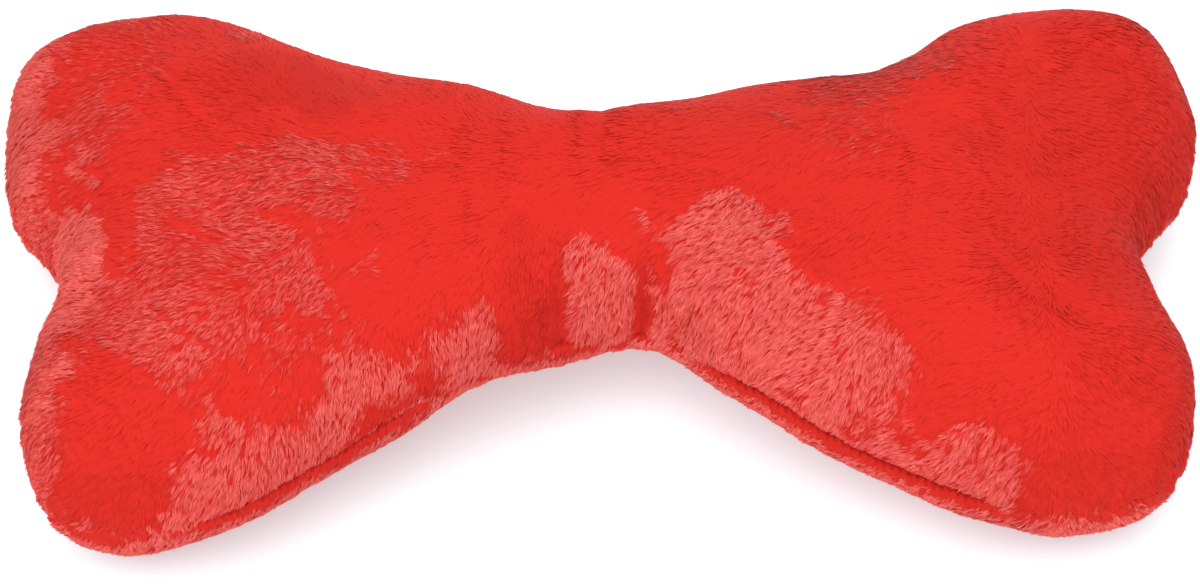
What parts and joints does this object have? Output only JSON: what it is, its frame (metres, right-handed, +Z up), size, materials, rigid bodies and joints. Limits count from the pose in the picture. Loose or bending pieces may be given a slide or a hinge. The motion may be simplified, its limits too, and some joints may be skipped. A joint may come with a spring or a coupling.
{
  "type": "squeaky dog toy",
  "caption": "Bone-shaped stuffed plush dog toy: two panels sewn round the rim over fibre fill, with a bellows bulb and reed whistle in the waist.",
  "frame": {"origin": "on the surface that the toy lies on, under the middle of its outline", "axes": "+X along the bone to the right lobes, +Y across it to the back lobes, +Z up through the top panel"},
  "size_m": [0.28, 0.153, 0.062],
  "materials": {
    "plush": "matte",
    "thread": "matte",
    "fibre_fill": "matte",
    "pouch_cloth": "matte",
    "bulb_vinyl": "satin",
    "whistle_plastic": "satin",
    "reed_film": "gloss"
  },
  "bodies": {
    "toy": {"top_panel": "plush", "bottom_panel": "plush", "seam_thread": "thread", "closing_thread": "thread", "fill_left_back": "fibre_fill", "fill_left_front": "fibre_fill", "fill_right_back": "fibre_fill", "fill_right_front": "fibre_fill", "fill_waist_upper": "fibre_fill", "fill_waist_lower": "fibre_fill", "pouch_upper": "pouch_cloth", "pouch_lower": "pouch_cloth", "bulb_base": "bulb_vinyl", "bulb_bellows": "bulb_vinyl", "whistle_barrel": "whistle_plastic", "reed_seat": "whistle_plastic", "reed_wedge": "whistle_plastic"},
    "bulb_cap": {"bulb_top": "bulb_vinyl"},
    "reed_tongue": {"reed": "reed_film"}
  },
  "joints": [
    {"name": "squeeze", "type": "slide", "parent": "toy", "child": "bulb_cap", "axis": [0, 0, -1], "range_m": [0, 0.0065], "stiffness_N_per_m": 900, "deforming": ["bulb_bellows"]},
    {"name": "reed_flex", "type": "hinge", "parent": "toy", "child": "reed_tongue", "pos_m": [0.00107, 0.00498, 0.031], "axis": [1, 0, 0], "range_deg": [-5, 3], "stiffness_Nm_per_rad": 0.002}
  ]
}
